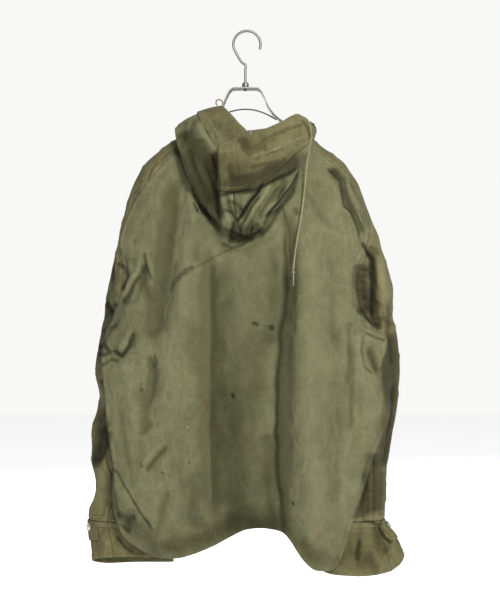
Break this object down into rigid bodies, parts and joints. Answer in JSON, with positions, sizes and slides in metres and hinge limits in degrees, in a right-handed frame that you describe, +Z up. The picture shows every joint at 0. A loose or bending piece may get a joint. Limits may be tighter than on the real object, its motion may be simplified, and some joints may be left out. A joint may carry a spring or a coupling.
{
  "type": "hooded deck parka on a hanger",
  "caption": "Hooded canvas deck parka hung by its shoulders on a metal hanger, with raglan sleeves, turned cuffs, snap-closed front and a drawcord at the hood.",
  "frame": {"origin": "inside top of the hanger's hook, where a rail or wall hook holds it", "axes": "+Z up, +Y towards the front of the garment, so its back faces -Y, and +X to the right as the back is looked at"},
  "size_m": [0.6298, 0.2498, 1.0673],
  "materials": {
    "canvas_olive": "faded olive cotton canvas, matt, stained and creased",
    "canvas_worn": "browner, more worn olive canvas of sleeves, cuffs and hood band",
    "cord_tan": "tan braided cotton cord",
    "snap_metal": "dull nickel",
    "hanger_steel": "satin steel",
    "hanger_dark": "dark steel"
  },
  "bodies": {
    "root": {"back_panel": "canvas_olive", "front_left": "canvas_olive", "front_right": "canvas_olive", "front_fly": "canvas_olive", "front_stud_1": "snap_metal", "front_stud_2": "snap_metal", "front_stud_3": "snap_metal", "front_stud_4": "snap_metal", "front_stud_5": "snap_metal", "sleeve_left": "canvas_worn", "sleeve_right": "canvas_worn", "cuff_left": "canvas_worn", "cuff_right": "canvas_worn", "cuff_tab_left": "canvas_worn", "cuff_tab_right": "canvas_worn", "cuff_stud_left": "snap_metal", "cuff_stud_right": "snap_metal", "hood_left": "canvas_olive", "hood_right": "canvas_olive", "hood_edge_band": "canvas_worn", "drawcord": "cord_tan", "drawcord_knot": "cord_tan", "drawcord_loop": "cord_tan", "drawcord_aglet": "snap_metal", "hanger_hook": "hanger_steel", "hanger_ferrule": "hanger_steel", "hanger_frame": "hanger_steel", "hanger_bolt": "hanger_dark", "hanger_arc": "hanger_dark"}
  },
  "joints": []
}
